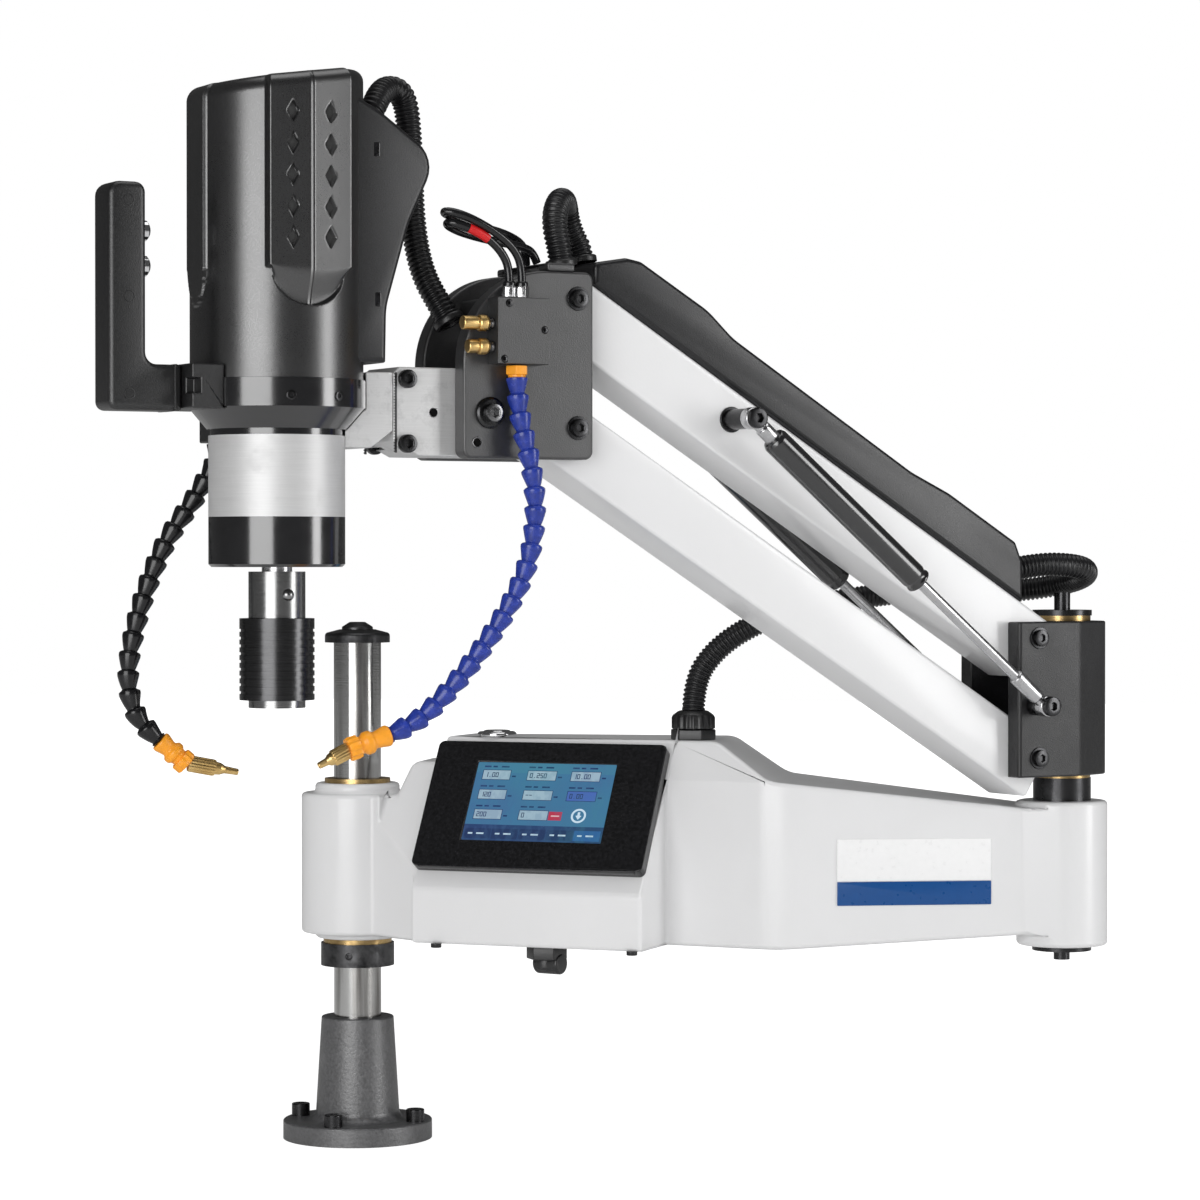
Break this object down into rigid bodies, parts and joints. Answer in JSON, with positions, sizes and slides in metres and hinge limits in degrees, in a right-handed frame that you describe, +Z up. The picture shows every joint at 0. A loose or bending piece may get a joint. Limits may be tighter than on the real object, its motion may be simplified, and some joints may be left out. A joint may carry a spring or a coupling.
{
  "type": "arm tapping machine",
  "caption": "Servo tapping machine on a swing arm: column with bolt flange, base arm with operator panel, parallel arms with gas springs, tilting head with chuck, coolant hoses.",
  "frame": {"origin": "middle of the base flange's bottom face, on the column's axis", "axes": "+Z up along the column, +X along the base arm from the column to the rear post at rest"},
  "size_m": [0.6695, 0.5687, 0.8305],
  "materials": {
    "dark_cast": "dark grey painted casting",
    "column_steel": "ground steel with light wear",
    "blackened_steel": "black oxide steel",
    "bronze": "bare bronze",
    "white_paint": "gloss white powder coat on cast aluminium",
    "black_paint": "fine textured black paint on aluminium",
    "bezel_black": "gloss black moulding",
    "screen": "lit display behind glass",
    "polymer_black": "grained black moulding",
    "electronics": "inner units",
    "chrome": "polished",
    "screw_black": "black socket screws",
    "bright_steel": "bright steel",
    "spring_black": "gloss black cylinder",
    "anodised": "light grey anodised",
    "brass": "turned brass",
    "hose_blue": "moulded blue segments",
    "hose_black": "moulded black segments",
    "hose_orange": "moulded orange fittings",
    "conduit_black": "corrugated black conduit",
    "air_tube": "smooth black tube"
  },
  "bodies": {
    "base": {"base_pedestal": "dark_cast", "base_bolts": "screw_black", "column": "column_steel", "column_collar": "blackened_steel", "column_thrust_ring": "bronze", "column_cap": "blackened_steel"},
    "base_arm": {"base_arm_casting": "white_paint", "box_bottom_cover": "white_paint", "hmi_bezel": "bezel_black", "hmi_screen": "screen", "cable_glands": "polymer_black", "control_electronics": "electronics", "rear_post": "column_steel", "bronze_bushes": "bronze", "post_fasteners": "screw_black", "conduit_base": "conduit_black"},
    "power_button": {"power_button": "chrome"},
    "rear_block": {"rear_block": "black_paint", "rear_block_pins": "screw_black", "conduit_clip": "polymer_black", "conduit_rear": "conduit_black"},
    "upper_arm": {"upper_arm_beam": "white_paint", "upper_arm_cover": "polymer_black", "upper_arm_bushes": "bronze", "spring_studs_upper": "bright_steel", "conduit_front": "conduit_black"},
    "lower_arm": {"lower_arm_beam": "white_paint", "lower_arm_bushes": "bronze"},
    "spring_rod_near": {"spring_rod_near": "bright_steel"},
    "spring_rod_far": {"spring_rod_far": "bright_steel"},
    "spring_tube_near": {"spring_tube_near": "spring_black"},
    "spring_tube_far": {"spring_tube_far": "spring_black"},
    "front_bracket": {"front_plates": "black_paint", "coupling_block": "black_paint", "bracket_fasteners": "screw_black", "valve_block": "black_paint", "valve_fittings": "chrome", "air_tubes": "air_tube", "blue_hose": "hose_blue", "blue_hose_nozzle": "hose_orange", "conduit_head": "conduit_black"},
    "needle_knob_upper": {"needle_knob_upper": "brass"},
    "needle_knob_lower": {"needle_knob_lower": "brass"},
    "head": {"head_coupling": "black_paint", "gearbox_collar": "black_paint", "anodised_band": "anodised", "lower_band": "black_paint", "motor_housing": "polymer_black", "rear_fairing": "polymer_black", "servo_motor": "electronics", "spindle_bearings": "bright_steel", "collar_clamps": "polymer_black", "handle_grip": "polymer_black", "black_hose": "hose_black", "black_hose_nozzle": "hose_orange"},
    "start_button": {"start_button": "chrome"},
    "stop_button": {"stop_button": "chrome"},
    "spindle": {"spindle_shaft": "bright_steel", "chuck_body": "blackened_steel"},
    "chuck_sleeve": {"chuck_sleeve": "blackened_steel"}
  },
  "joints": [
    {"name": "base_swing", "type": "hinge", "parent": "base", "child": "base_arm", "pos_m": [0, 0, 0.2], "axis": [0, 0, 1], "range_deg": [-170, 170]},
    {"name": "arm_swing", "type": "hinge", "parent": "base_arm", "child": "rear_block", "pos_m": [0.565, 0, 0.35], "axis": [0, 0, 1], "range_deg": [-5, 100], "deforming": ["conduit_base"]},
    {"name": "lift", "type": "hinge", "parent": "rear_block", "child": "upper_arm", "pos_m": [0.52596, -0.03123, 0.4064], "axis": [-0.6247, 0.7809, 0], "range_deg": [-30, 18], "stiffness_Nm_per_rad": 26.585, "springref_deg": 113.19, "deforming": ["conduit_rear"]},
    {"name": "lower_lift", "type": "hinge", "parent": "rear_block", "child": "lower_arm", "pos_m": [0.52596, -0.03123, 0.3144], "axis": [-0.6247, 0.7809, 0], "range_deg": [-31, 19]},
    {"name": "bracket_level", "type": "hinge", "parent": "upper_arm", "child": "front_bracket", "pos_m": [0.21303, -0.28158, 0.65197], "axis": [-0.6247, 0.7809, 0], "range_deg": [-19, 31], "deforming": ["conduit_front"]},
    {"name": "head_turn", "type": "hinge", "parent": "front_bracket", "child": "head", "pos_m": [0.09648, -0.37482, 0.573], "axis": [-0.7809, -0.6247, 0], "range_deg": [0, 90], "deforming": ["conduit_head"]},
    {"name": "spindle_turn", "type": "hinge", "parent": "head", "child": "spindle", "pos_m": [0.04455, -0.41636, 0.5], "axis": [0, 0, -1], "continuous": true},
    {"name": "chuck_release", "type": "slide", "parent": "spindle", "child": "chuck_sleeve", "axis": [0, 0, 1], "range_m": [0, 0.008], "stiffness_N_per_m": 1500, "springref_m": -0.01},
    {"name": "start_press", "type": "slide", "parent": "head", "child": "start_button", "axis": [-0.7809, -0.6247, 0], "range_m": [0, 0.003], "stiffness_N_per_m": 500, "springref_m": -0.004},
    {"name": "stop_press", "type": "slide", "parent": "head", "child": "stop_button", "axis": [-0.7809, -0.6247, 0], "range_m": [0, 0.003], "stiffness_N_per_m": 500, "springref_m": -0.004},
    {"name": "power_press", "type": "slide", "parent": "base_arm", "child": "power_button", "axis": [0, 0, -1], "range_m": [0, 0.0025], "stiffness_N_per_m": 800, "springref_m": -0.003},
    {"name": "needle_upper_turn", "type": "hinge", "parent": "front_bracket", "child": "needle_knob_upper", "pos_m": [0.18113, -0.36857, 0.6318], "axis": [-0.7809, -0.6247, 0], "continuous": true},
    {"name": "needle_lower_turn", "type": "hinge", "parent": "front_bracket", "child": "needle_knob_lower", "pos_m": [0.18113, -0.36857, 0.6155], "axis": [-0.7809, -0.6247, 0], "continuous": true},
    {"name": "spring_rod_near_pivot", "type": "hinge", "parent": "rear_block", "child": "spring_rod_near", "pos_m": [0.5568, -0.07699, 0.3549], "axis": [-0.6247, 0.7809, 0], "range_deg": [-29, 18]},
    {"name": "spring_tube_near_pivot", "type": "hinge", "parent": "upper_arm", "child": "spring_tube_near", "pos_m": [0.35325, -0.23983, 0.5689], "axis": [-0.6247, 0.7809, 0], "range_deg": [-3, 4]},
    {"name": "spring_rod_far_pivot", "type": "hinge", "parent": "rear_block", "child": "spring_rod_far", "pos_m": [0.48808, 0.0089, 0.3549], "axis": [-0.6247, 0.7809, 0], "range_deg": [-29, 18]},
    {"name": "spring_tube_far_pivot", "type": "hinge", "parent": "upper_arm", "child": "spring_tube_far", "pos_m": [0.28453, -0.15394, 0.5689], "axis": [-0.6247, 0.7809, 0], "range_deg": [-3, 4]}
  ],
  "couplings": [
    {"joint": "lower_lift", "follows": "lift", "ratio": 1},
    {"joint": "bracket_level", "follows": "lift", "ratio": -1},
    {"joint": "spring_rod_near_pivot", "follows": "lift", "ratio": 0.933},
    {"joint": "spring_tube_near_pivot", "follows": "lift", "ratio": -0.067},
    {"joint": "spring_rod_far_pivot", "follows": "lift", "ratio": 0.933},
    {"joint": "spring_tube_far_pivot", "follows": "lift", "ratio": -0.067}
  ]
}
